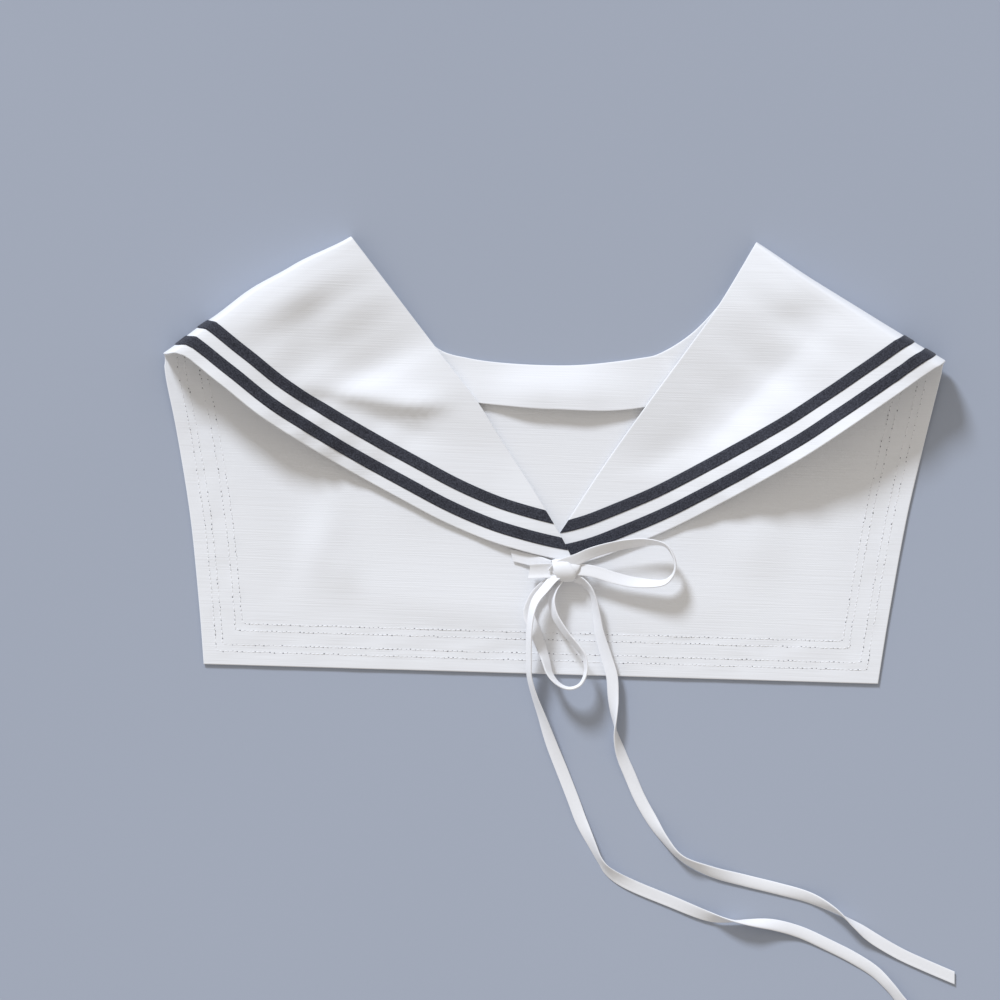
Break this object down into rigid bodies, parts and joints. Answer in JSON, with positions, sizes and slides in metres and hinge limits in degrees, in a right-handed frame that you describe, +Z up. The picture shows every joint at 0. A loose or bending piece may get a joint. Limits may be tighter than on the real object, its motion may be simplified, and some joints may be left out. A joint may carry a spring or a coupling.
{
  "type": "sailor collar",
  "caption": "Detachable sailor collar laid flat: square back panel, fronts folded over at the shoulders and tied in a narrow bow, with dark ribbons round the edge.",
  "frame": {"origin": "on the surface that the collar lies on, under the middle of the collar's own box without the tie", "axes": "+X to the right across the back panel as seen from above, +Y from the hem to the neck opening, +Z up out of the surface"},
  "size_m": [0.4071, 0.3904, 0.0256],
  "materials": {
    "white_cotton": "matt plain-woven cotton with fine cross slubs",
    "facing_cotton": "matt plain-woven cotton",
    "tie_cotton": "matt cotton tape",
    "navy_ribbon": "dark navy ribbed ribbon with a slight sheen"
  },
  "bodies": {
    "root": {"collar_cloth": "white_cotton", "outer_stripe": "navy_ribbon", "inner_stripe": "navy_ribbon", "neck_facing": "facing_cotton", "tie_anchor": "tie_cotton", "bow_stub": "tie_cotton", "bow_side_loop": "tie_cotton", "bow_hanging_loop": "tie_cotton", "tie_tail_long": "tie_cotton", "tie_tail_short": "tie_cotton", "bow_knot": "tie_cotton"}
  },
  "joints": []
}
